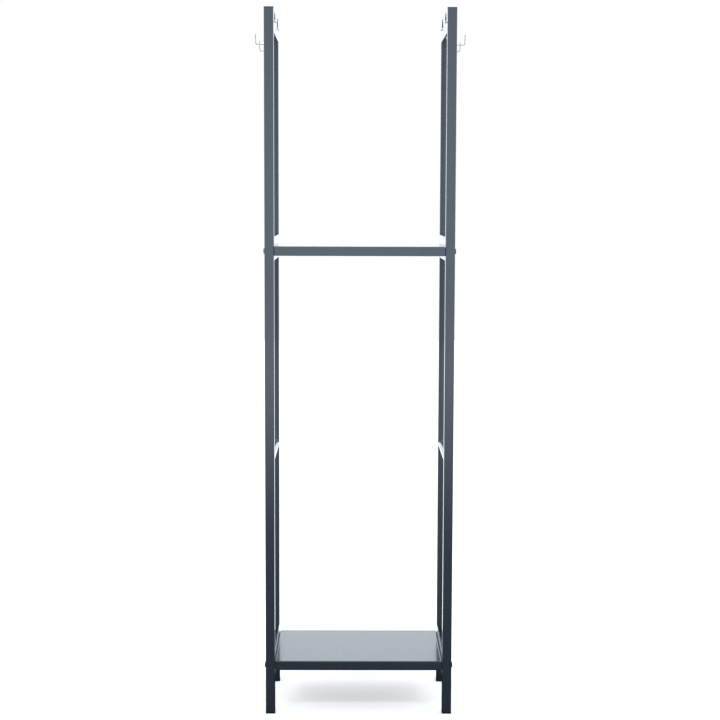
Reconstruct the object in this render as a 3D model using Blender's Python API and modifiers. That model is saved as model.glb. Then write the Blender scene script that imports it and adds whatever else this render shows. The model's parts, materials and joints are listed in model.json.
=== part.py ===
"""Firewood log rack: two welded side frames, two bolted shelf trays and four hanging tool hooks.

Units are metres. Z is up and the rack stands on Z = 0, with the middle of its footprint at the
origin. The open front faces -Y, and the side frames stand at -X (left) and +X (right).
"""

import math

import bmesh
import bpy
from mathutils import Matrix, Vector

# Overall size of the frame: floor to top, and over the outer faces of the posts.
HEIGHT = 1.500
WIDTH = 0.400
DEPTH = 0.250

# Clearance between neighbouring pieces.
GAP = 0.0003

# Square steel tube of the posts.
TUBE = 0.020
TUBE_WALL = 0.0015
TUBE_CORNER = 0.0025
CORNER_STEPS = 4

# Plastic caps in the ends of the posts.
FOOT_SIDE = 0.0206
FOOT_HEIGHT = 0.004
TOP_CAP_HEIGHT = 0.002
PLUG_LENGTH = 0.014
PLUG_WALL = 0.002
CAP_EDGE = 0.0006

# Shelf trays: folded sheet with a rim all round that points down.
SHEET = 0.0015
FOLD_RADIUS = 0.0022
SHELF_RIM = 0.020
LOWER_SHELF_TOP = 0.116
UPPER_SHELF_TOP = 1.006
TRAY_SETBACK = 0.0004

# Flat side plates between the front and rear posts.
PLATE_HEIGHT = 0.050
PLATE_THICKNESS = 0.003
PLATE_EDGE = 0.0004
PLATE_BELOW_SHELF_TOP = 0.030
TOP_PLATE_TOP = HEIGHT - 0.0005

# Arched slots in the top side plates, flat along the bottom.
SLOT_LENGTH = 0.050
SLOT_HEIGHT = 0.0215
SLOT_SPACING = 0.118
SLOT_ABOVE_PLATE_BOTTOM = 0.025
SLOT_STEPS = 28

# Round brace half way between the shelves.
BRACE_DIAMETER = 0.016
BRACE_Z = 0.553
BRACE_WALL = 0.0015

# M6 button-head bolts and hex nuts.
BOLT_DIAMETER = 0.006
BOLT_LENGTH = 0.030
BOLT_HEAD_DIAMETER = 0.012
BOLT_HEAD_HEIGHT = 0.002
BOLT_HEAD_FLAT = 0.0066
BOLT_HEAD_LIP = 0.0006
BOLT_POINT_CHAMFER = 0.0006
BOLT_DOME_STEPS = 6
SOCKET_ACROSS_FLATS = 0.004
SOCKET_DEPTH = 0.0018
NUT_ACROSS_FLATS = 0.010
NUT_THICKNESS = 0.005
NUT_EDGE = 0.0004
ROUND_SEGMENTS = 24

# Wire tool hooks: a curl over the slot's floor, a short drop to a kink that rests on the plate,
# a shank that slopes outward, a level floor and a prong.
WIRE = 0.0025
CURL_INNER_RADIUS = 0.0025
CURL_END_FLARE = math.radians(15)
CURL_END_LENGTH = 0.0025
KINK_DROP = 0.005
SHANK_SLOPE = math.radians(25)
HOOK_SPACING = 0.150
HOOK_BOTTOM_Z = 1.4273
HOOK_TIP_Z = 1.4485
HOOK_REACH = 0.0378
HOOK_TIP_FLARE = math.radians(4)
HOOK_BEND_RADIUS = 0.0035
CURL_STEPS = 14
BEND_STEPS = 6

# Places that follow from the sizes above.
POST_X = (WIDTH - TUBE) / 2
POST_Y = (DEPTH - TUBE) / 2
INNER_X = WIDTH / 2 - TUBE
INNER_Y = DEPTH / 2 - TUBE
PLATE_X = INNER_X + PLATE_THICKNESS / 2
PLATE_LENGTH = 2 * (INNER_Y - GAP)
SHELF_TOPS = {"lower": LOWER_SHELF_TOP, "upper": UPPER_SHELF_TOP}
BOLT_HEIGHTS = {level: top - SHELF_RIM / 2 for level, top in SHELF_TOPS.items()}
PLUG_SIDE = TUBE - 2 * TUBE_WALL - 2 * GAP
SLOT_BOTTOM_Z = TOP_PLATE_TOP - PLATE_HEIGHT + SLOT_ABOVE_PLATE_BOTTOM

SIDES = {"left": -1, "right": 1}
ENDS = {"front": -1, "rear": 1}

# Colour, roughness and metallic value of each finish.
FINISHES = {
    "powder_coat": ((0.045, 0.052, 0.060), 0.42, 0.0),
    "cap_plastic": ((0.010, 0.010, 0.011), 0.50, 0.0),
    "grey_plastic": ((0.040, 0.047, 0.055), 0.45, 0.0),
    "bolt_coat": ((0.035, 0.040, 0.046), 0.38, 0.3),
    "zinc": ((0.60, 0.61, 0.62), 0.35, 1.0),
    "hook_chrome": ((0.80, 0.80, 0.81), 0.15, 1.0),
}


# Scene helpers ---------------------------------------------------------------------------------


def clear_scene():
    for obj in list(bpy.data.objects):
        bpy.data.objects.remove(obj, do_unlink=True)


def make_collection(name):
    collection = bpy.data.collections.new(name)
    bpy.context.scene.collection.children.link(collection)
    return collection


def make_material(name):
    colour, roughness, metallic = FINISHES[name]
    material = bpy.data.materials.new(name)
    material.use_nodes = True
    shader = material.node_tree.nodes["Principled BSDF"]
    shader.inputs["Base Color"].default_value = (*colour, 1.0)
    shader.inputs["Roughness"].default_value = roughness
    shader.inputs["Metallic"].default_value = metallic
    return material


def mesh_from(bm, name):
    mesh = bpy.data.meshes.new(name)
    bmesh.ops.recalc_face_normals(bm, faces=bm.faces)
    bm.to_mesh(mesh)
    bm.free()
    return mesh


def add_object(name, data, collection, material=None):
    obj = bpy.data.objects.new(name, data)
    collection.objects.link(obj)
    if material and not data.materials:
        data.materials.append(material)
    return obj


def shade_round(mesh):
    mesh.shade_smooth()
    mesh.set_sharp_from_angle(angle=math.radians(40))


def cut_with(obj, cutter):
    cut = obj.modifiers.new("cut " + cutter.name, "BOOLEAN")
    cut.operation = "DIFFERENCE"
    cut.object = cutter


def add_bevel(obj, width, segments=2):
    bevel = obj.modifiers.new("rounded edges", "BEVEL")
    bevel.width = width
    bevel.segments = segments
    bevel.limit_method = "ANGLE"
    bevel.angle_limit = math.radians(50)


# Outlines --------------------------------------------------------------------------------------


def arc(centre, radius, start, end, steps):
    """Points from angle start to angle end, both included."""
    angles = [start + (end - start) * step / steps for step in range(steps + 1)]
    return [(centre[0] + radius * math.cos(a), centre[1] + radius * math.sin(a)) for a in angles]


def rounded_square(side, radius):
    points = []
    reach = side / 2 - radius
    for quarter, (sx, sy) in enumerate([(1, 1), (-1, 1), (-1, -1), (1, -1)]):
        start = quarter * math.pi / 2
        points += arc((sx * reach, sy * reach), radius, start, start + math.pi / 2, CORNER_STEPS)
    return points


def circle(radius):
    return arc((0, 0), radius, 0, 2 * math.pi, ROUND_SEGMENTS)[:-1]


def rectangle(width, height):
    corners = [(1, 1), (-1, 1), (-1, -1), (1, -1)]
    return [(sx * width / 2, sy * height / 2) for sx, sy in corners]


def arched_slot(middle, bottom):
    """Half an ellipse that stands on its flat side."""
    angles = [math.pi * step / SLOT_STEPS for step in range(SLOT_STEPS + 1)]
    half_length = SLOT_LENGTH / 2
    return [(middle + half_length * math.cos(a), bottom + SLOT_HEIGHT * math.sin(a)) for a in angles]


def outline_mesh(name, outlines, thickness):
    """A flat outline with holes, thickened along Z and centred on it."""
    curve = bpy.data.curves.new(name + " outline", "CURVE")
    curve.dimensions = "2D"
    curve.fill_mode = "BOTH"
    curve.extrude = thickness / 2
    for outline in outlines:
        spline = curve.splines.new("POLY")
        spline.points.add(len(outline) - 1)
        for point, (x, y) in zip(spline.points, outline):
            point.co = (x, y, 0, 1)
        spline.use_cyclic_u = True
    guide = bpy.data.objects.new(name + " outline", curve)
    bpy.context.scene.collection.objects.link(guide)
    depsgraph = bpy.context.evaluated_depsgraph_get()
    mesh = bpy.data.meshes.new_from_object(guide.evaluated_get(depsgraph))
    bpy.data.objects.remove(guide, do_unlink=True)
    bm = bmesh.new()
    bm.from_mesh(mesh)
    bmesh.ops.remove_doubles(bm, verts=bm.verts, dist=0.00001)
    bmesh.ops.recalc_face_normals(bm, faces=bm.faces)
    bm.to_mesh(mesh)
    bm.free()
    mesh.name = name
    return mesh


def box_mesh(name, size):
    bm = bmesh.new()
    bmesh.ops.create_cube(bm, size=1.0)
    bmesh.ops.scale(bm, vec=Vector(size), verts=bm.verts)
    return mesh_from(bm, name)


# Cutters ---------------------------------------------------------------------------------------


def make_cutter(name, bm, collection):
    cutter = add_object(name, mesh_from(bm, name), collection)
    cutter.hide_render = True
    cutter.display_type = "WIRE"
    return cutter


def add_rod_along_x(bm, radius, length, segments, centre):
    turn = Matrix.Rotation(math.pi / 2, 4, "Y")
    bmesh.ops.create_cone(
        bm,
        cap_ends=True,
        segments=segments,
        radius1=radius,
        radius2=radius,
        depth=length,
        matrix=Matrix.Translation(Vector(centre)) @ turn,
    )


def bolt_bores(collection):
    """Four clearance holes that run right across the rack, through posts, tray rims and nuts."""
    bm = bmesh.new()
    length = WIDTH + 2 * TUBE
    for height in BOLT_HEIGHTS.values():
        for end in ENDS.values():
            centre = (0, end * POST_Y, height)
            add_rod_along_x(bm, BOLT_DIAMETER / 2 + GAP, length, ROUND_SEGMENTS, centre)
    return make_cutter("bolt_bores", bm, collection)


def hex_sockets(collection):
    """The hexagon recess in every bolt head."""
    bm = bmesh.new()
    radius = SOCKET_ACROSS_FLATS / 2 / math.cos(math.pi / 6)
    head_top = WIDTH / 2 + GAP + BOLT_HEAD_HEIGHT
    for height in BOLT_HEIGHTS.values():
        for side in SIDES.values():
            for end in ENDS.values():
                centre = (side * head_top, end * POST_Y, height)
                add_rod_along_x(bm, radius, 2 * SOCKET_DEPTH, 6, centre)
    return make_cutter("hex_sockets", bm, collection)


# Side frames -----------------------------------------------------------------------------------


def build_posts(rack, steel, bores):
    bottom = FOOT_HEIGHT + GAP
    top = HEIGHT - TOP_CAP_HEIGHT - GAP
    outer = rounded_square(TUBE, TUBE_CORNER)
    inner = rounded_square(TUBE - 2 * TUBE_WALL, TUBE_CORNER - TUBE_WALL)
    mesh = outline_mesh("post", [outer, inner], top - bottom)
    for side_name, side in SIDES.items():
        for end_name, end in ENDS.items():
            post = add_object(f"{side_name}_{end_name}_post", mesh, rack, steel)
            post.location = (side * POST_X, end * POST_Y, (top + bottom) / 2)
            cut_with(post, bores)


def raise_top_face(bm, inset, height):
    """Inset the highest face, then extrude it straight along Z."""
    top = max(bm.faces, key=lambda face: face.calc_center_median().z)
    bmesh.ops.inset_region(bm, faces=[top], thickness=inset, use_even_offset=True)
    extruded = bmesh.ops.extrude_face_region(bm, geom=[top])
    moved = [item for item in extruded["geom"] if isinstance(item, bmesh.types.BMVert)]
    bmesh.ops.translate(bm, vec=(0, 0, height), verts=moved)
    bmesh.ops.delete(bm, geom=[top], context="FACES_ONLY")


def round_uprights(bm, reach, radius):
    """Round the four upright edges that stand at (+-reach, +-reach)."""
    uprights = []
    for edge in bm.edges:
        if all(abs(abs(v.co.x) - reach) + abs(abs(v.co.y) - reach) < GAP / 3 for v in edge.verts):
            if abs(edge.verts[0].co.z - edge.verts[1].co.z) > GAP:
                uprights.append(edge)
    bmesh.ops.bevel(
        bm, geom=uprights, offset=radius, segments=CORNER_STEPS, profile=0.5, affect="EDGES"
    )


def cap_mesh(name, flange_side, flange_height):
    """A rounded square flange with a hollow plug standing on it, open at the plug's end."""
    bm = bmesh.new()
    bmesh.ops.create_cube(bm, size=1.0)
    bmesh.ops.scale(bm, vec=(flange_side, flange_side, flange_height), verts=bm.verts)
    bmesh.ops.translate(bm, vec=(0, 0, flange_height / 2), verts=bm.verts)
    raise_top_face(bm, (flange_side - PLUG_SIDE) / 2, PLUG_LENGTH)
    raise_top_face(bm, PLUG_WALL, PLUG_WALL - PLUG_LENGTH)
    round_uprights(bm, flange_side / 2, TUBE_CORNER)
    round_uprights(bm, PLUG_SIDE / 2, TUBE_CORNER - TUBE_WALL)
    rim = [edge for edge in bm.edges if max(vert.co.z for vert in edge.verts) < GAP]
    bmesh.ops.bevel(bm, geom=rim, offset=CAP_EDGE, segments=2, profile=0.5, affect="EDGES")
    return mesh_from(bm, name)


def build_caps(rack, black_plastic, grey_plastic):
    foot_mesh = cap_mesh("foot cap", FOOT_SIDE, FOOT_HEIGHT)
    top_mesh = cap_mesh("top cap", TUBE, TOP_CAP_HEIGHT)
    for side_name, side in SIDES.items():
        for end_name, end in ENDS.items():
            foot = add_object(f"{side_name}_{end_name}_foot_cap", foot_mesh, rack, black_plastic)
            foot.location = (side * POST_X, end * POST_Y, 0)
            top = add_object(f"{side_name}_{end_name}_top_cap", top_mesh, rack, grey_plastic)
            top.location = (side * POST_X, end * POST_Y, HEIGHT)
            top.rotation_euler = (math.pi, 0, 0)


def build_shelf_plates(rack, steel):
    mesh = box_mesh("side plate", (PLATE_THICKNESS, PLATE_LENGTH, PLATE_HEIGHT))
    for side_name, side in SIDES.items():
        for level, shelf_top in SHELF_TOPS.items():
            plate = add_object(f"{side_name}_{level}_side_plate", mesh, rack, steel)
            middle = shelf_top - PLATE_BELOW_SHELF_TOP + PLATE_HEIGHT / 2
            plate.location = (side * PLATE_X, 0, middle)
            add_bevel(plate, PLATE_EDGE)


def build_top_plates(rack, steel):
    """Plates with two arched slots each; the outline's X runs along the rack's depth."""
    slot_bottom = SLOT_ABOVE_PLATE_BOTTOM - PLATE_HEIGHT / 2
    outlines = [rectangle(PLATE_LENGTH, PLATE_HEIGHT)]
    outlines += [arched_slot(end * SLOT_SPACING / 2, slot_bottom) for end in ENDS.values()]
    mesh = outline_mesh("top plate", outlines, PLATE_THICKNESS)
    for side_name, side in SIDES.items():
        plate = add_object(f"{side_name}_top_side_plate", mesh, rack, steel)
        plate.location = (side * PLATE_X, 0, TOP_PLATE_TOP - PLATE_HEIGHT / 2)
        plate.rotation_euler = (math.pi / 2, 0, math.pi / 2)


def build_braces(rack, steel):
    outlines = [circle(BRACE_DIAMETER / 2), circle(BRACE_DIAMETER / 2 - BRACE_WALL)]
    mesh = outline_mesh("brace", outlines, PLATE_LENGTH)
    shade_round(mesh)
    for side_name, side in SIDES.items():
        brace = add_object(f"{side_name}_round_brace", mesh, rack, steel)
        brace.location = (side * (INNER_X + BRACE_DIAMETER / 2), 0, BRACE_Z)
        brace.rotation_euler = (math.pi / 2, 0, 0)


# Shelves ---------------------------------------------------------------------------------------


def tray_mesh():
    """The outside of a folded sheet tray: a top and four rims, open underneath."""
    bm = bmesh.new()
    bmesh.ops.create_cube(bm, size=1.0)
    size = (2 * (INNER_X - GAP), DEPTH - 2 * TRAY_SETBACK, SHELF_RIM)
    bmesh.ops.scale(bm, vec=size, verts=bm.verts)
    bmesh.ops.translate(bm, vec=(0, 0, -SHELF_RIM / 2), verts=bm.verts)
    bottom = min(bm.faces, key=lambda face: face.calc_center_median().z)
    bmesh.ops.delete(bm, geom=[bottom], context="FACES_ONLY")
    folds = [e for e in bm.edges if not e.is_boundary]
    bmesh.ops.bevel(bm, geom=folds, offset=FOLD_RADIUS, segments=3, profile=0.5, affect="EDGES")
    return mesh_from(bm, "tray")


def build_trays(rack, steel, bores):
    mesh = tray_mesh()
    for level, shelf_top in SHELF_TOPS.items():
        tray = add_object(f"{level}_shelf_tray", mesh, rack, steel)
        tray.location = (0, 0, shelf_top)
        wall = tray.modifiers.new("sheet thickness", "SOLIDIFY")
        wall.thickness = SHEET
        wall.offset = -1
        wall.use_even_offset = True
        cut_with(tray, bores)


# Fasteners -------------------------------------------------------------------------------------


def bolt_profile():
    """Half section of a button-head bolt, from the middle of its head down to its point."""
    radius = BOLT_DIAMETER / 2
    head_radius = BOLT_HEAD_DIAMETER / 2
    flat = BOLT_HEAD_FLAT / 2
    dome = []
    for step in range(BOLT_DOME_STEPS + 1):
        turn = math.pi / 2 * step / BOLT_DOME_STEPS
        out = flat + (head_radius - flat) * math.sin(turn)
        up = BOLT_HEAD_LIP + (BOLT_HEAD_HEIGHT - BOLT_HEAD_LIP) * math.cos(turn)
        dome.append((out, up))
    point_radius = radius - BOLT_POINT_CHAMFER
    shank = [(radius, 0), (radius, BOLT_POINT_CHAMFER - BOLT_LENGTH), (point_radius, -BOLT_LENGTH)]
    return [(0, BOLT_HEAD_HEIGHT)] + dome + [(head_radius, 0)] + shank + [(0, -BOLT_LENGTH)]


def bolt_mesh():
    points = [(radius, 0, height) for radius, height in bolt_profile()]
    mesh = bpy.data.meshes.new("bolt")
    mesh.from_pydata(points, [(i, i + 1) for i in range(len(points) - 1)], [])
    return mesh


def build_bolts(rack, coated_steel, sockets):
    mesh = bolt_mesh()
    for level, height in BOLT_HEIGHTS.items():
        for side_name, side in SIDES.items():
            for end_name, end in ENDS.items():
                bolt = add_object(f"{level}_{side_name}_{end_name}_bolt", mesh, rack, coated_steel)
                bolt.location = (side * (WIDTH / 2 + GAP), end * POST_Y, height)
                bolt.rotation_euler = (0, side * math.pi / 2, 0)
                turn = bolt.modifiers.new("turned profile", "SCREW")
                turn.axis = "Z"
                turn.steps = ROUND_SEGMENTS
                turn.render_steps = ROUND_SEGMENTS
                turn.use_merge_vertices = True
                turn.merge_threshold = 0.00005
                cut_with(bolt, sockets)


def nut_mesh():
    bm = bmesh.new()
    radius = NUT_ACROSS_FLATS / 2 / math.cos(math.pi / 6)
    add_rod_along_x(bm, radius, NUT_THICKNESS, 6, (0, 0, 0))
    return mesh_from(bm, "nut")


def build_nuts(rack, zinc, bores):
    mesh = nut_mesh()
    rim_inside = INNER_X - GAP - SHEET
    for level, height in BOLT_HEIGHTS.items():
        for side_name, side in SIDES.items():
            for end_name, end in ENDS.items():
                nut = add_object(f"{level}_{side_name}_{end_name}_nut", mesh, rack, zinc)
                nut.location = (side * (rim_inside - GAP - NUT_THICKNESS / 2), end * POST_Y, height)
                add_bevel(nut, NUT_EDGE, segments=1)
                cut_with(nut, bores)


# Hooks -----------------------------------------------------------------------------------------


def hook_pivot_z():
    """Height of the curl's centre when the curl just clears both edges of the slot's floor."""
    clear_radius = CURL_INNER_RADIUS - GAP
    return SLOT_BOTTOM_Z - math.sqrt(clear_radius**2 - (PLATE_THICKNESS / 2) ** 2)


def hook_lean():
    """Lean of the drop below the curl, inward, that brings the kink to the plate's outer face."""
    reach = math.hypot(CURL_INNER_RADIUS, KINK_DROP)
    face = PLATE_THICKNESS / 2 + GAP
    return math.acos(face / reach) - math.atan2(KINK_DROP, CURL_INNER_RADIUS)


def rounded_corner(before, corner, after):
    """Arc that rounds a corner of the hook's path."""
    back = (before - corner).normalized()
    onward = (after - corner).normalized()
    half = back.angle(onward) / 2
    centre = corner + HOOK_BEND_RADIUS / math.sin(half) * (back + onward).normalized()
    reach = HOOK_BEND_RADIUS / math.tan(half)
    first = corner + reach * back - centre
    last = corner + reach * onward - centre
    turns = [first.slerp(last, step / BEND_STEPS) for step in range(BEND_STEPS + 1)]
    return [centre + HOOK_BEND_RADIUS * turn for turn in turns]


def hook_path():
    """Middle line of the wire in (outward, up), from the short end of the curl to the tip."""
    lean = hook_lean()
    curl_radius = CURL_INNER_RADIUS + WIRE / 2
    bottom = HOOK_BOTTOM_Z - hook_pivot_z()
    tip = HOOK_TIP_Z - hook_pivot_z()

    curl = [Vector(p) for p in arc((0, 0), curl_radius, math.pi - CURL_END_FLARE, -lean, CURL_STEPS)]
    end_direction = Vector((-math.sin(CURL_END_FLARE), -math.cos(CURL_END_FLARE)))
    short_end = curl[0] + CURL_END_LENGTH * end_direction

    kink = curl[-1] + KINK_DROP * Vector((-math.sin(lean), -math.cos(lean)))
    heel = Vector((kink.x + (kink.y - bottom) * math.tan(SHANK_SLOPE), bottom))
    toe = Vector((HOOK_REACH, bottom))
    tip_point = Vector((HOOK_REACH + (tip - bottom) * math.tan(HOOK_TIP_FLARE), tip))
    corners = [curl[-1], kink, heel, toe, tip_point]
    bends = []
    for before, corner, after in zip(corners, corners[1:], corners[2:]):
        bends += rounded_corner(before, corner, after)
    return [short_end] + curl + bends + [tip_point]


def hook_curve(side_name, side):
    curve = bpy.data.curves.new(f"{side_name} hook wire", "CURVE")
    curve.dimensions = "3D"
    curve.bevel_depth = WIRE / 2
    curve.bevel_resolution = 2
    curve.use_fill_caps = True
    path = hook_path()
    spline = curve.splines.new("POLY")
    spline.points.add(len(path) - 1)
    for point, (outward, up) in zip(spline.points, path):
        point.co = (side * outward, 0, up, 1)
    return curve


def build_hooks(rack, chrome):
    """Each hook's origin is its pivot, the centre of the curl that hangs on the slot's floor."""
    for side_name, side in SIDES.items():
        curve = hook_curve(side_name, side)
        for end_name, end in ENDS.items():
            hook = add_object(f"{side_name}_{end_name}_hook", curve, rack, chrome)
            hook.location = (side * PLATE_X, end * HOOK_SPACING / 2, hook_pivot_z())


def main():
    clear_scene()
    rack = make_collection("firewood_log_rack")
    cutters = make_collection("cutters")
    steel = make_material("powder_coat")
    black_plastic = make_material("cap_plastic")
    grey_plastic = make_material("grey_plastic")
    coated_steel = make_material("bolt_coat")
    zinc = make_material("zinc")
    chrome = make_material("hook_chrome")
    bores = bolt_bores(cutters)
    sockets = hex_sockets(cutters)
    build_posts(rack, steel, bores)
    build_caps(rack, black_plastic, grey_plastic)
    build_shelf_plates(rack, steel)
    build_top_plates(rack, steel)
    build_braces(rack, steel)
    build_trays(rack, steel, bores)
    build_bolts(rack, coated_steel, sockets)
    build_nuts(rack, zinc, bores)
    build_hooks(rack, chrome)


main()
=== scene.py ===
"""Looks of the firewood log rack: powder-coated steel, plastic caps, screws, nuts, welds and wire hooks.

Units are metres. Z is up, the rack stands on Z = 0 and its open front faces -Y.
"""

import json
import math

import bmesh
import bpy
from mathutils import Matrix, Vector, noise


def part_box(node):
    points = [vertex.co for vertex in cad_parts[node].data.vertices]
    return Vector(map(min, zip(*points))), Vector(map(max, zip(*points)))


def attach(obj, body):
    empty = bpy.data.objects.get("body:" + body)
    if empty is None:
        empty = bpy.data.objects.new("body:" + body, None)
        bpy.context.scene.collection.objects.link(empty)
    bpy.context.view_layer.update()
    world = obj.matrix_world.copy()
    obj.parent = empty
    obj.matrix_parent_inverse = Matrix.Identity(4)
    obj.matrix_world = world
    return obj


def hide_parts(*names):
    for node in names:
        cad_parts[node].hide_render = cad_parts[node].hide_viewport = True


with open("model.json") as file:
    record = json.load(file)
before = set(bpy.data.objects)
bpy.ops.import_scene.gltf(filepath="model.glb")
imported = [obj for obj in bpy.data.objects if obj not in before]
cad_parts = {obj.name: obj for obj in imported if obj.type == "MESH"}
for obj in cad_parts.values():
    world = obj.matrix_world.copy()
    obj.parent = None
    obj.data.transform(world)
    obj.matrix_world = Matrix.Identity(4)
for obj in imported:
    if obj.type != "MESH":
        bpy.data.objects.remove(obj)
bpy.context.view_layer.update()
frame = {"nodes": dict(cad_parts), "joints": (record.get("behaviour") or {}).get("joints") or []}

SIDES = {"left": -1, "right": 1}
ENDS = {"front": -1, "rear": 1}
LEVELS = ("lower", "upper")

# Camera: where it stands and how it is turned, in metres and degrees.
CAMERA_PLACE = (-0.0188, -3.4402, 1.1028)
CAMERA_PITCH_DOWN = 5.78
CAMERA_YAW_RIGHT = 0.343
CAMERA_ROLL = 0.167
CAMERA_LENS = 79.0
CAMERA_SENSOR = 36.0

# Light: two spots high in front of the rack, one on each side, and an even glow all round.
KEY_SIDEWAYS = 1.9
KEY_FORWARD = 2.6
KEY_HEIGHT = 3.4
KEY_TARGET_HEIGHT = 0.95
KEY_CONE = math.radians(20)
KEY_RADIUS = 0.4
KEY_POWER = 650
GLOW_COLOUR = (0.88, 0.94, 1.0)
GLOW_IN_FRONT = 1.1
GLOW_BEHIND = 1.3

# Floor. Along Y it is dark to the rack from start to end, and fades to pale on both sides of that.
FLOOR_REACH = 9.0
FLOOR_GLOW = 0.42
DARK_FLOOR_FADE = -5.5
DARK_FLOOR_START = -2.0
DARK_FLOOR_END = 0.15
PALE_FLOOR_START = 0.35

WHITE = (1.0, 1.0, 1.0, 1.0)
BLACK = (0.0, 0.0, 0.0, 1.0)

# Powder coat: how deep its pebbles and its fine grain are in the colour film and in the clear layer.
PEBBLE_DEPTH = 0.00003
GRAIN_DEPTH = 0.000012
CLEAR_PEBBLE_DEPTH = 0.000007
CLEAR_GRAIN_DEPTH = 0.000003
RUB_DEPTH = 0.00002

# Edges sharper than this stay sharp, and points closer than this are one.
SHARP_ANGLE = math.radians(35)
SAME_POINT = 0.00001
FLAT_FACE_WEIGHT = 100

# Wire hooks. The pivot is the centre of the curl that hangs on the floor of a slot. Below the curl
# a short drop ends in a kink that rests on the plate, and a shank slopes outward from there.
WIRE_RADIUS = 0.00125
CURL_INNER_RADIUS = 0.0025
CURL_END_FLARE = math.radians(15)
CURL_END_LENGTH = 0.0025
KINK_DROP = 0.005
PIVOT_TO_PLATE_FACE = 0.0018
SHANK_SLOPE = math.radians(25)
HOOK_BOTTOM_Z = 1.4273
HOOK_TIP_Z = 1.4485
HOOK_REACH = 0.0378
HOOK_TIP_FLARE = math.radians(4)
HOOK_BEND_RADIUS = 0.0035
BEND_STEPS = 12
CURL_STEPS = 26
WIRE_SIDES = 20
DOME_STEPS = 5

# Button-head screws with a hexagon socket, and hex nuts.
SCREW_RADIUS = 0.003
SCREW_LENGTH = 0.030
THREAD_LENGTH = 0.012
THREAD_PITCH = 0.001
THREAD_DEPTH = 0.00045
THREAD_CREST_SHARE = 0.1
HEAD_RADIUS = 0.006
HEAD_HEIGHT = 0.002
HEAD_FLAT_RADIUS = 0.0033
HEAD_LIP = 0.0006
SOCKET_ACROSS_FLATS = 0.004
SOCKET_DEPTH = 0.0018
SOCKET_CHAMFER = 0.0002
SOCKET_POINT_DEPTH = 1.1 * SOCKET_DEPTH
SOCKET_POINT_RADIUS = 0.3 * SOCKET_ACROSS_FLATS
NUT_ACROSS_FLATS = 0.010
NUT_THICKNESS = 0.005
NUT_BORE_RADIUS = 0.0033
NUT_LEAD_IN = 0.0004
NUT_FACE_RADIUS = 0.94 * NUT_ACROSS_FLATS / 2
NUT_CHAMFER = math.radians(30)
NUT_SHARP_ANGLE = math.radians(25)
ROUND_STEPS = 48

# Weld beads of the side frames. Each ripple makes the bead a little wider and rounder, and a slow
# wobble along the bead varies its width.
BEAD_LEG = 0.0026
BEAD_BULGE = 0.0007
BEAD_SINK = 0.0004
BEAD_RIPPLE = 0.0014
BEAD_RIPPLE_WIDTH = 0.05
BEAD_RIPPLE_BULGE = 0.30
BEAD_WOBBLE_WIDTH = 0.12
BEAD_WOBBLE_SCALE = 260.0
BEAD_STEP = 0.00035
BEAD_ARC_STEPS = 4
BEAD_MARGIN = 0.004
RING_BEAD_LEG = 0.0020
RING_BEAD_HALF_ANGLE = math.radians(130)


# Shader helpers --------------------------------------------------------------------------------


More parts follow.
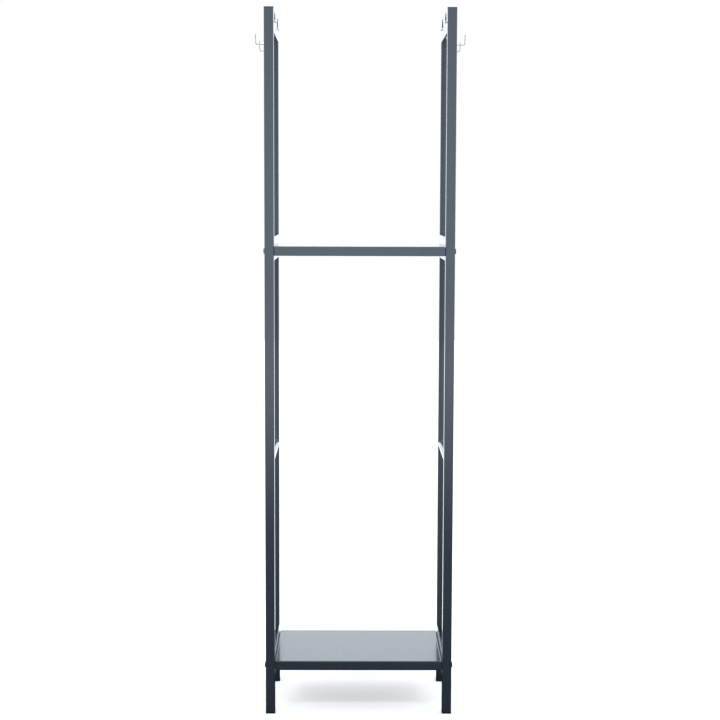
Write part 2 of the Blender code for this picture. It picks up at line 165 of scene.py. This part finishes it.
class Material:
    """A node material with short calls for the textures that the finishes share."""

    def __init__(self, name):
        self.material = bpy.data.materials.new(name)
        self.material.use_nodes = True
        self.tree = self.material.node_tree
        self.shader = self.tree.nodes["Principled BSDF"]
        self.coordinates = self.tree.nodes.new("ShaderNodeTexCoord").outputs["Object"]

    def set(self, **values):
        """Fixed values of the shader's own sockets, by name with _ for a space."""
        for name, value in values.items():
            self.shader.inputs[name.replace("_", " ")].default_value = value

    def link(self, output, socket):
        target = self.shader.inputs[socket] if isinstance(socket, str) else socket
        self.tree.links.new(output, target)

    def stretched(self, scale):
        mapping = self.tree.nodes.new("ShaderNodeMapping")
        mapping.inputs["Scale"].default_value = scale
        self.link(self.coordinates, mapping.inputs["Vector"])
        return mapping.outputs["Vector"]

    def noise(self, scale, detail=2.0, roughness=0.5, vector=None):
        """Noise from 0 to 1. The scale is in repeats a metre."""
        texture = self.tree.nodes.new("ShaderNodeTexNoise")
        texture.inputs["Scale"].default_value = scale
        texture.inputs["Detail"].default_value = detail
        texture.inputs["Roughness"].default_value = roughness
        self.link(vector or self.coordinates, texture.inputs["Vector"])
        return texture.outputs["Fac"]

    def cells(self, scale):
        """A flat random value for each cell. The scale is in cells a metre."""
        texture = self.tree.nodes.new("ShaderNodeTexVoronoi")
        texture.inputs["Scale"].default_value = scale
        self.link(self.coordinates, texture.inputs["Vector"])
        return texture.outputs["Color"]

    def remap(self, value, low, high, to_low=0.0, to_high=1.0):
        node = self.tree.nodes.new("ShaderNodeMapRange")
        limits = (("From Min", low), ("From Max", high), ("To Min", to_low), ("To Max", to_high))
        for name, limit in limits:
            node.inputs[name].default_value = limit
        self.link(value, node.inputs["Value"])
        return node.outputs["Result"]

    def math(self, operation, first, second):
        node = self.tree.nodes.new("ShaderNodeMath")
        node.operation = operation
        for socket, value in zip(node.inputs, (first, second)):
            if isinstance(value, (int, float)):
                socket.default_value = value
            else:
                self.link(value, socket)
        return node.outputs[0]

    def mix(self, factor, first, second):
        node = self.tree.nodes.new("ShaderNodeMix")
        node.data_type = "RGBA"
        self.link(factor, node.inputs["Factor"])
        for name, colour in (("A", first), ("B", second)):
            socket = next(s for s in node.inputs if s.name == name and s.type == "RGBA")
            if isinstance(colour, tuple):
                socket.default_value = (*colour, 1.0)
            else:
                self.link(colour, socket)
        return next(s for s in node.outputs if s.type == "RGBA")

    def facing_up(self):
        """1 on faces that look straight up, 0 on all others."""
        geometry = self.tree.nodes.new("ShaderNodeNewGeometry")
        split = self.tree.nodes.new("ShaderNodeSeparateXYZ")
        self.link(geometry.outputs["Normal"], split.inputs[0])
        return self.remap(split.outputs["Z"], 0.90, 0.98)

    def bump(self, layers, socket="Normal"):
        """Stacks (height, depth in metres) layers on one of the shader's normals."""
        normal = None
        for height, depth in layers:
            node = self.tree.nodes.new("ShaderNodeBump")
            node.inputs["Strength"].default_value = 1.0
            node.inputs["Distance"].default_value = depth
            self.link(height, node.inputs["Height"])
            if normal:
                self.link(normal, node.inputs["Normal"])
            normal = node.outputs["Normal"]
        self.link(normal, socket)


def powder_coat(name, rubbed=False):
    """Anthracite powder coat: a fine pebbled film, slightly uneven in tone and gloss."""
    coat = Material(name)
    coat.set(Metallic=0.0, IOR=1.45, Specular_IOR_Level=0.3)
    coat.set(Coat_Weight=1.0, Coat_Roughness=0.13, Coat_IOR=1.45)
    tone = coat.noise(22, detail=4)
    colour = coat.mix(tone, (0.030, 0.041, 0.055), (0.036, 0.048, 0.063))
    flecks = coat.remap(coat.noise(2600, detail=1), 0.62, 0.74)
    colour = coat.mix(coat.math("MULTIPLY", flecks, 0.5), colour, (0.060, 0.070, 0.082))
    gloss = coat.remap(coat.noise(70, detail=3), 0.3, 0.7, 0.20, 0.26)
    pebble = coat.noise(420, detail=2)
    grain = coat.noise(1500, detail=2)
    layers = [(pebble, PEBBLE_DEPTH), (grain, GRAIN_DEPTH)]
    if rubbed:
        streaks = coat.noise(1.0, detail=3, roughness=0.7, vector=coat.stretched((420, 9, 420)))
        patches = coat.remap(coat.noise(14, detail=2), 0.45, 0.65)
        marks = coat.math("MULTIPLY", coat.remap(streaks, 0.60, 0.72), patches)
        marks = coat.math("MULTIPLY", marks, coat.facing_up())
        colour = coat.mix(coat.math("MULTIPLY", marks, 0.35), colour, (0.10, 0.105, 0.11))
        gloss = coat.math("ADD", gloss, coat.math("MULTIPLY", marks, 0.12))
        layers.append((marks, -RUB_DEPTH))
    coat.link(colour, "Base Color")
    coat.link(gloss, "Roughness")
    coat.bump(layers)
    coat.bump([(pebble, CLEAR_PEBBLE_DEPTH), (grain, CLEAR_GRAIN_DEPTH)], "Coat Normal")
    return coat.material


def moulded_plastic(name, colour, dusty):
    """Moulded polyethylene with a spark-eroded skin and a little pale dust."""
    plastic = Material(name)
    plastic.set(Metallic=0.0, IOR=1.5)
    dust = plastic.remap(plastic.noise(160, detail=5, roughness=0.7), 0.5, 0.8, 0.0, 0.35)
    plastic.link(plastic.mix(dust, colour, dusty), "Base Color")
    plastic.link(plastic.remap(plastic.noise(300, detail=3), 0.3, 0.7, 0.46, 0.62), "Roughness")
    plastic.bump([(plastic.noise(2200, detail=3), 0.00004)])
    return plastic.material


def screw_coat():
    """Dark coated screws: a thin film over steel, uneven and worn a little brighter in spots."""
    coat = Material("screw_coat")
    coat.set(IOR=1.5)
    worn = coat.remap(coat.noise(900, detail=4, roughness=0.65), 0.62, 0.78)
    coat.link(coat.mix(worn, (0.025, 0.033, 0.042), (0.15, 0.16, 0.17)), "Base Color")
    coat.link(coat.remap(worn, 0.0, 1.0, 0.2, 0.9), "Metallic")
    coat.link(coat.remap(coat.noise(500, detail=3), 0.3, 0.7, 0.32, 0.46), "Roughness")
    coat.bump([(coat.noise(2600, detail=2), 0.00002)])
    return coat.material


def zinc_plate():
    """Bright zinc: cloudy crystals in tone and gloss, with a faint blue cast."""
    zinc = Material("zinc_plate")
    zinc.set(Metallic=1.0)
    crystals = zinc.cells(700)
    clouds = zinc.noise(260, detail=4)
    tone = zinc.mix(clouds, (0.50, 0.52, 0.55), (0.66, 0.67, 0.68))
    zinc.link(zinc.mix(zinc.remap(crystals, 0.0, 1.0, 0.0, 0.5), tone, (0.74, 0.75, 0.74)), "Base Color")
    zinc.link(zinc.remap(crystals, 0.0, 1.0, 0.24, 0.42), "Roughness")
    zinc.bump([(zinc.noise(1800, detail=3), 0.00002)])
    return zinc.material


def bright_wire():
    """Plated wire: near mirror, with faint draw lines and hazy patches."""
    wire = Material("bright_wire")
    wire.set(Metallic=1.0)
    haze = wire.noise(180, detail=4)
    lines = wire.noise(1.0, detail=2, vector=wire.stretched((2600, 2600, 120)))
    wire.link(wire.mix(haze, (0.62, 0.625, 0.635), (0.70, 0.705, 0.71)), "Base Color")
    wire.link(wire.remap(haze, 0.3, 0.7, 0.26, 0.36), "Roughness")
    wire.bump([(lines, 0.00001)])
    return wire.material


# Mesh helpers ----------------------------------------------------------------------------------


def finished(name, bm, material, sharp_angle=SHARP_ANGLE):
    """Turns a bmesh into a piece of the object, which still has to ride on a body."""
    bmesh.ops.recalc_face_normals(bm, faces=bm.faces)
    mesh = bpy.data.meshes.new(name)
    bm.to_mesh(mesh)
    bm.free()
    mesh.shade_smooth()
    mesh.set_sharp_from_angle(angle=sharp_angle)
    mesh.materials.append(material)
    piece = bpy.data.objects.new(name, mesh)
    bpy.context.scene.collection.objects.link(piece)
    return piece


def join_rings(bm, first, second):
    count = len(first)
    for i in range(count):
        j = (i + 1) % count
        bm.faces.new((first[i], first[j], second[j], second[i]))


def close_ring(bm, ring, point):
    tip = bm.verts.new(point)
    for i, vert in enumerate(ring):
        bm.faces.new((vert, ring[(i + 1) % len(ring)], tip))


def ringed_solid(bm, rows, centre, axis_sign, through=False):
    """A solid round the X axis from rows of (along, radius), each a number or a function of the
    angle. A solid with a hole through it closes on its first row, and any other at its two ends."""
    rings = []
    for along, radius in rows:
        ring = []
        for step in range(ROUND_STEPS):
            angle = 2 * math.pi * step / ROUND_STEPS
            x = along(angle) if callable(along) else along
            r = radius(angle) if callable(radius) else radius
            ring.append(bm.verts.new((
                centre[0] + axis_sign * x,
                centre[1] + r * math.cos(angle),
                centre[2] + r * math.sin(angle),
            )))
        rings.append(ring)
    for first, second in zip(rings, rings[1:]):
        join_rings(bm, first, second)
    if through:
        join_rings(bm, rings[-1], rings[0])
        return
    for ring, along in ((rings[0], rows[0][0]), (rings[-1], rows[-1][0])):
        close_ring(bm, ring, (centre[0] + axis_sign * along, centre[1], centre[2]))


def hexagon(across_flats):
    """Radius of a hexagon as a function of the angle."""
    def radius(angle):
        turn = (angle + math.pi / 6) % (math.pi / 3) - math.pi / 6
        return across_flats / 2 / math.cos(turn)
    return radius


# Screws and nuts -------------------------------------------------------------------------------


def screw_rows():
    """From the point of the shank to the floor of the socket; 0 is the underside of the head."""
    rows = [(-SCREW_LENGTH, SCREW_RADIUS - 2 * THREAD_DEPTH)]
    turns = round(THREAD_LENGTH / THREAD_PITCH)
    for turn in range(turns):
        root = -SCREW_LENGTH + THREAD_DEPTH + turn * THREAD_PITCH
        rows.append((root, SCREW_RADIUS - THREAD_DEPTH))
        rows.append((root + (0.5 - THREAD_CREST_SHARE / 2) * THREAD_PITCH, SCREW_RADIUS))
        rows.append((root + (0.5 + THREAD_CREST_SHARE / 2) * THREAD_PITCH, SCREW_RADIUS))
    rows.append((THREAD_LENGTH - SCREW_LENGTH + THREAD_DEPTH, SCREW_RADIUS))
    rows.append((0.0, SCREW_RADIUS))
    rows.append((0.0, HEAD_RADIUS))
    dome_steps = 2 * DOME_STEPS
    for step in range(dome_steps, -1, -1):
        turn = math.pi / 2 * step / dome_steps
        radius = HEAD_FLAT_RADIUS + (HEAD_RADIUS - HEAD_FLAT_RADIUS) * math.sin(turn)
        rows.append((HEAD_LIP + (HEAD_HEIGHT - HEAD_LIP) * math.cos(turn), radius))
    rows.append((HEAD_HEIGHT, hexagon(SOCKET_ACROSS_FLATS + 2 * SOCKET_CHAMFER)))
    rows.append((HEAD_HEIGHT - SOCKET_CHAMFER, hexagon(SOCKET_ACROSS_FLATS)))
    rows.append((HEAD_HEIGHT - SOCKET_DEPTH, hexagon(SOCKET_ACROSS_FLATS)))
    rows.append((HEAD_HEIGHT - SOCKET_POINT_DEPTH, SOCKET_POINT_RADIUS))
    return rows


def nut_rows():
    """A hex nut with both faces turned to a cone at the corners; 0 is its middle."""
    outline = hexagon(NUT_ACROSS_FLATS)
    half = NUT_THICKNESS / 2

    def shoulder(sign):
        return lambda angle: sign * (half - (outline(angle) - NUT_FACE_RADIUS) * math.tan(NUT_CHAMFER))

    return [
        (-half, NUT_BORE_RADIUS + NUT_LEAD_IN),
        (-half, NUT_FACE_RADIUS),
        (shoulder(-1), outline),
        (shoulder(1), outline),
        (half, NUT_FACE_RADIUS),
        (half, NUT_BORE_RADIUS + NUT_LEAD_IN),
        (half - NUT_LEAD_IN, NUT_BORE_RADIUS),
        (NUT_LEAD_IN - half, NUT_BORE_RADIUS),
    ]


def build_fasteners(coat, zinc):
    for level in LEVELS:
        for side, sign in SIDES.items():
            for end in ENDS:
                place = f"{level}_{side}_{end}"
                low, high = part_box(f"{place}_bolt")
                middle = (low + high) / 2
                head_base = (high.x if sign > 0 else low.x) - sign * HEAD_HEIGHT
                bm = bmesh.new()
                ringed_solid(bm, screw_rows(), (head_base, middle.y, middle.z), sign)
                screw = finished(f"{place}_button_screw", bm, coat)
                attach(screw, "rack")
                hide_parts(f"{place}_bolt")

                low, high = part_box(f"{place}_nut")
                middle = (low + high) / 2
                bm = bmesh.new()
                ringed_solid(bm, nut_rows(), middle, sign, through=True)
                nut = finished(f"{place}_hex_nut", bm, zinc, NUT_SHARP_ANGLE)
                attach(nut, "rack")
                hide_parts(f"{place}_nut")


# Hooks -----------------------------------------------------------------------------------------


def rounded_corner(before, corner, after):
    """Arc that rounds a corner of the hook's path."""
    back = (before - corner).normalized()
    onward = (after - corner).normalized()
    half = back.angle(onward) / 2
    centre = corner + HOOK_BEND_RADIUS / math.sin(half) * (back + onward).normalized()
    reach = HOOK_BEND_RADIUS / math.tan(half)
    first = corner + reach * back - centre
    last = corner + reach * onward - centre
    turns = [first.slerp(last, step / BEND_STEPS) for step in range(BEND_STEPS + 1)]
    return [centre + HOOK_BEND_RADIUS * turn for turn in turns]


def hook_path(pivot_z):
    """Middle line of the wire as (outward, up) from the pivot, from the curl's end to the tip."""
    bottom = HOOK_BOTTOM_Z - pivot_z
    tip = HOOK_TIP_Z - pivot_z
    reach = math.hypot(CURL_INNER_RADIUS, KINK_DROP)
    lean = math.acos(PIVOT_TO_PLATE_FACE / reach) - math.atan2(KINK_DROP, CURL_INNER_RADIUS)

    curl = []
    curl_start = math.pi - CURL_END_FLARE
    for step in range(CURL_STEPS + 1):
        turn = curl_start - (curl_start + lean) * step / CURL_STEPS
        curl.append((CURL_INNER_RADIUS + WIRE_RADIUS) * Vector((math.cos(turn), math.sin(turn))))
    end_direction = Vector((-math.sin(CURL_END_FLARE), -math.cos(CURL_END_FLARE)))
    short_end = curl[0] + CURL_END_LENGTH * end_direction

    kink = curl[-1] + KINK_DROP * Vector((-math.sin(lean), -math.cos(lean)))
    heel = Vector((kink.x + (kink.y - bottom) * math.tan(SHANK_SLOPE), bottom))
    toe = Vector((HOOK_REACH, bottom))
    tip_point = Vector((HOOK_REACH + (tip - bottom) * math.tan(HOOK_TIP_FLARE), tip))
    corners = [curl[-1], kink, heel, toe, tip_point]
    bends = []
    for before, corner, after in zip(corners, corners[1:], corners[2:]):
        bends += rounded_corner(before, corner, after)
    return [short_end] + curl + bends + [tip_point]


def wire_ring(bm, centre, normal, radius):
    """A ring round a wire that lies in the XZ plane, from its in-plane normal."""
    ring = []
    for step in range(WIRE_SIDES):
        angle = 2 * math.pi * step / WIRE_SIDES
        offset = radius * (math.cos(angle) * normal + math.sin(angle) * Vector((0, 1, 0)))
        ring.append(bm.verts.new(centre + offset))
    return ring


def swept_wire(bm, points):
    """Round wire along points in the XZ plane, with a dome on each end."""
    def direction(i):
        return (points[min(i + 1, len(points) - 1)] - points[max(i - 1, 0)]).normalized()

    def normal(along):
        return Vector((along.z, 0, -along.x))

    first, last = direction(0), direction(len(points) - 1)
    turns = [math.pi / 2 * step / DOME_STEPS for step in range(1, DOME_STEPS)]
    dome = [(WIRE_RADIUS * (1 - math.cos(turn)), WIRE_RADIUS * math.sin(turn)) for turn in turns]
    rings = []
    for inset, radius in dome:
        rings.append(wire_ring(bm, points[0] + inset * first, normal(first), radius))
    body = [points[0] + WIRE_RADIUS * first] + points[1:-1] + [points[-1] - WIRE_RADIUS * last]
    for i, point in enumerate(body):
        rings.append(wire_ring(bm, point, normal(direction(i)), WIRE_RADIUS))
    for inset, radius in reversed(dome):
        rings.append(wire_ring(bm, points[-1] - inset * last, normal(last), radius))
    for one, two in zip(rings, rings[1:]):
        join_rings(bm, one, two)
    close_ring(bm, rings[0], points[0])
    close_ring(bm, rings[-1], points[-1])


def build_hooks(wire):
    joints = {joint["child"]: joint for joint in frame["joints"]}
    for side, sign in SIDES.items():
        for end in ENDS:
            body = f"{side}_{end}_hook"
            pivot = Vector(joints[body]["pos_m"])
            points = [pivot + Vector((sign * p.x, 0, p.y)) for p in hook_path(pivot.z)]
            bm = bmesh.new()
            swept_wire(bm, points)
            hook = finished(f"{body}_wire", bm, wire)
            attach(hook, body)
            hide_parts(body)


# Welds -----------------------------------------------------------------------------------------


def bead(bm, path, leg_one, leg_two, leg):
    """A rippled fillet weld along the path of a corner. At each of its points, leg_one and leg_two
    give the directions of the two surfaces that it joins. Its root is sunk into both, and its ends
    run out to nothing."""
    length = BEAD_STEP * (len(path) - 1)
    rings = []
    for i, corner in enumerate(path):
        along = i * BEAD_STEP
        run_out = min(1.0, math.sqrt(max(0.02, min(along, length - along) / leg)))
        ripple = abs(math.sin(math.pi * along / BEAD_RIPPLE))
        wobble = noise.noise(BEAD_WOBBLE_SCALE * corner)
        width = 1 - BEAD_RIPPLE_WIDTH * (1 - ripple) + BEAD_WOBBLE_WIDTH * wobble
        size = leg * run_out * width
        bulge = BEAD_BULGE * run_out * (1 + BEAD_RIPPLE_BULGE * (ripple - 0.5))
        one, two = leg_one[i], leg_two[i]
        root = corner - BEAD_SINK * (one + two)
        ring = [root, root + (size + 2 * BEAD_SINK) * one]
        for step in range(BEAD_ARC_STEPS + 1):
            share = step / BEAD_ARC_STEPS
            lift = bulge * math.sin(math.pi * share) * (one + two).normalized()
            ring.append(corner + size * ((1 - share) * one + share * two) + lift)
        ring.append(root + (size + 2 * BEAD_SINK) * two)
        rings.append([bm.verts.new(point) for point in ring])
    for first, second in zip(rings, rings[1:]):
        join_rings(bm, first, second)
    for ring in (rings[0], rings[-1]):
        bm.faces.new(ring)


def upright_bead(bm, x, y, bottom, top, side, end):
    count = round((top - bottom) / BEAD_STEP) + 1
    path = [Vector((x, y, bottom + i * BEAD_STEP)) for i in range(count)]
    bead(bm, path, [Vector((side, 0, 0))] * count, [Vector((0, -end, 0))] * count, BEAD_LEG)


def ring_bead(bm, centre, radius, side, end):
    """Round the outer part of a brace where it meets a post."""
    count = round(2 * RING_BEAD_HALF_ANGLE * radius / BEAD_STEP) + 1
    path, away = [], []
    for i in range(count):
        angle = RING_BEAD_HALF_ANGLE * (2 * i / (count - 1) - 1)
        outward = Vector((side * math.cos(angle), 0, math.sin(angle)))
        path.append(centre + radius * outward)
        away.append(outward)
    bead(bm, path, away, [Vector((0, -end, 0))] * count, RING_BEAD_LEG)


def build_welds(coat):
    for side, sign in SIDES.items():
        bm = bmesh.new()
        for plate in ("lower_side_plate", "upper_side_plate", "top_side_plate"):
            low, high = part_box(f"{side}_{plate}")
            outer_face = high.x if sign > 0 else low.x
            for end_sign in ENDS.values():
                seam_y = high.y if end_sign > 0 else low.y
                bottom, top = low.z + BEAD_MARGIN, high.z - BEAD_MARGIN
                upright_bead(bm, outer_face, seam_y, bottom, top, sign, end_sign)
        low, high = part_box(f"{side}_round_brace")
        for end_sign in ENDS.values():
            centre = (low + high) / 2
            centre.y = high.y if end_sign > 0 else low.y
            ring_bead(bm, centre, (high.z - low.z) / 2, sign, end_sign)
        welds = finished(f"{side}_frame_welds", bm, coat)
        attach(welds, "rack")


# CAD nodes -------------------------------------------------------------------------------------


def normals_group():
    """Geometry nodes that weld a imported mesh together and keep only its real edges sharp."""
    group = bpy.data.node_groups.new("weld and sharpen", "GeometryNodeTree")
    group.interface.new_socket("Geometry", in_out="INPUT", socket_type="NodeSocketGeometry")
    group.interface.new_socket("Geometry", in_out="OUTPUT", socket_type="NodeSocketGeometry")
    nodes, links = group.nodes, group.links
    start = nodes.new("NodeGroupInput")
    end = nodes.new("NodeGroupOutput")
    merge = nodes.new("GeometryNodeMergeByDistance")
    merge.inputs["Distance"].default_value = SAME_POINT
    angle = nodes.new("GeometryNodeInputMeshEdgeAngle")
    sharp = nodes.new("FunctionNodeCompare")
    sharp.data_type = "FLOAT"
    sharp.operation = "GREATER_THAN"
    sharp.inputs["B"].default_value = SHARP_ANGLE
    normals = nodes.new("GeometryNodeSetMeshNormal")
    normals.inputs["Remove Custom"].default_value = True
    links.new(start.outputs["Geometry"], merge.inputs["Geometry"])
    links.new(merge.outputs["Geometry"], normals.inputs["Mesh"])
    links.new(angle.outputs["Unsigned Angle"], sharp.inputs["A"])
    links.new(sharp.outputs["Result"], normals.inputs["Edge Sharpness"])
    links.new(normals.outputs["Mesh"], end.inputs["Geometry"])
    return group


def dress_node(node, material, group):
    piece = frame["nodes"][node]
    piece.data.materials.clear()
    piece.data.materials.append(material)
    weld = piece.modifiers.new("weld and sharpen", "NODES")
    weld.node_group = group
    flat = piece.modifiers.new("flat faces stay flat", "WEIGHTED_NORMAL")
    flat.keep_sharp = True
    flat.weight = FLAT_FACE_WEIGHT


def dress_frame(coat, shelf_coat, black_plastic, grey_plastic):
    group = normals_group()
    for side in SIDES:
        for end in ENDS:
            dress_node(f"{side}_{end}_post", coat, group)
            dress_node(f"{side}_{end}_foot_cap", black_plastic, group)
            dress_node(f"{side}_{end}_top_cap", grey_plastic, group)
        for plate in ("lower_side_plate", "upper_side_plate", "top_side_plate"):
            dress_node(f"{side}_{plate}", coat, group)
        dress_node(f"{side}_round_brace", coat, group)
    for level in LEVELS:
        dress_node(f"{level}_shelf_tray", shelf_coat, group)


# Stage -----------------------------------------------------------------------------------------


def make_camera():
    camera = bpy.data.objects.new("camera", bpy.data.cameras.new("camera"))
    bpy.context.scene.collection.objects.link(camera)
    camera.data.lens = CAMERA_LENS
    camera.data.sensor_width = CAMERA_SENSOR
    turn = Matrix.Rotation(-math.radians(CAMERA_YAW_RIGHT), 4, "Z")
    tilt = Matrix.Rotation(math.pi / 2 - math.radians(CAMERA_PITCH_DOWN), 4, "X")
    roll = Matrix.Rotation(math.radians(CAMERA_ROLL), 4, "Z")
    camera.matrix_world = Matrix.Translation(CAMERA_PLACE) @ turn @ tilt @ roll
    bpy.context.scene.camera = camera


def floor_material():
    """Pale paper to the eye. Just in front of the rack it sends no light up, as if it were black."""
    paper = Material("pale_floor")
    paper.set(Roughness=0.9, Emission_Strength=FLOOR_GLOW, Emission_Color=WHITE)
    tone = paper.noise(3, detail=3)
    paper.link(paper.mix(tone, (0.86, 0.86, 0.86), (0.88, 0.88, 0.88)), "Base Color")
    nodes = paper.tree.nodes
    split = nodes.new("ShaderNodeSeparateXYZ")
    paper.link(paper.coordinates, split.inputs[0])
    behind = paper.remap(split.outputs["Y"], DARK_FLOOR_END, PALE_FLOOR_START)
    ahead = paper.remap(split.outputs["Y"], DARK_FLOOR_FADE, DARK_FLOOR_START, 1.0, 0.0)
    lit = paper.math("MAXIMUM", behind, ahead)
    lit = paper.math("MAXIMUM", lit, nodes.new("ShaderNodeLightPath").outputs["Is Camera Ray"])
    black = nodes.new("ShaderNodeBsdfDiffuse")
    black.inputs["Color"].default_value = BLACK
    mix = nodes.new("ShaderNodeMixShader")
    paper.link(lit, mix.inputs["Fac"])
    paper.link(black.outputs[0], mix.inputs[1])
    paper.link(paper.shader.outputs[0], mix.inputs[2])
    paper.link(mix.outputs[0], nodes["Material Output"].inputs["Surface"])
    return paper.material


def make_floor():
    bm = bmesh.new()
    corners = ((-1, -1), (1, -1), (1, 1), (-1, 1))
    bm.faces.new([bm.verts.new((FLOOR_REACH * x, FLOOR_REACH * y, 0.0)) for x, y in corners])
    mesh = bpy.data.meshes.new("floor")
    bm.to_mesh(mesh)
    bm.free()
    mesh.materials.append(floor_material())
    floor = bpy.data.objects.new("floor", mesh)
    bpy.context.scene.collection.objects.link(floor)


def make_world():
    """White to the eye. Its light is a little dimmer from the front than from behind the rack."""
    world = bpy.data.worlds.new("studio")
    bpy.context.scene.world = world
    world.use_nodes = True
    nodes, links = world.node_tree.nodes, world.node_tree.links
    nodes.clear()
    direction = nodes.new("ShaderNodeTexCoord").outputs["Generated"]
    split = nodes.new("ShaderNodeSeparateXYZ")
    links.new(direction, split.inputs[0])
    strength = nodes.new("ShaderNodeMapRange")
    limits = (("From Min", -0.6), ("From Max", 0.3), ("To Min", GLOW_IN_FRONT), ("To Max", GLOW_BEHIND))
    for name, limit in limits:
        strength.inputs[name].default_value = limit
    links.new(split.outputs["Y"], strength.inputs["Value"])
    light = nodes.new("ShaderNodeBackground")
    light.inputs["Color"].default_value = (*GLOW_COLOUR, 1.0)
    links.new(strength.outputs["Result"], light.inputs["Strength"])
    paper = nodes.new("ShaderNodeBackground")
    paper.inputs["Color"].default_value = WHITE
    paper.inputs["Strength"].default_value = 1.0
    seen = nodes.new("ShaderNodeLightPath")
    mix = nodes.new("ShaderNodeMixShader")
    links.new(seen.outputs["Is Camera Ray"], mix.inputs["Fac"])
    links.new(light.outputs[0], mix.inputs[1])
    links.new(paper.outputs[0], mix.inputs[2])
    out = nodes.new("ShaderNodeOutputWorld")
    links.new(mix.outputs[0], out.inputs["Surface"])


def make_lights():
    target = Vector((0, 0, KEY_TARGET_HEIGHT))
    for side, sign in SIDES.items():
        data = bpy.data.lights.new(f"{side} key", "SPOT")
        data.spot_size = KEY_CONE
        data.spot_blend = 1.0
        data.shadow_soft_size = KEY_RADIUS
        data.energy = KEY_POWER
        light = bpy.data.objects.new(f"{side} key", data)
        bpy.context.scene.collection.objects.link(light)
        light.location = (sign * KEY_SIDEWAYS, -KEY_FORWARD, KEY_HEIGHT)
        light.rotation_euler = (target - light.location).to_track_quat("-Z", "Y").to_euler()


def main():
    make_camera()
    make_world()
    make_floor()
    make_lights()
    coat = powder_coat("powder_coat_frame")
    shelf_coat = powder_coat("powder_coat_shelf", rubbed=True)
    black_plastic = moulded_plastic("black_cap_plastic", (0.010, 0.010, 0.011), (0.030, 0.030, 0.029))
    grey_plastic = moulded_plastic("grey_cap_plastic", (0.040, 0.050, 0.061), (0.066, 0.074, 0.082))
    dress_frame(coat, shelf_coat, black_plastic, grey_plastic)
    build_fasteners(screw_coat(), zinc_plate())
    build_hooks(bright_wire())
    build_welds(coat)
    bpy.context.scene.view_settings.view_transform = "Standard"


main()
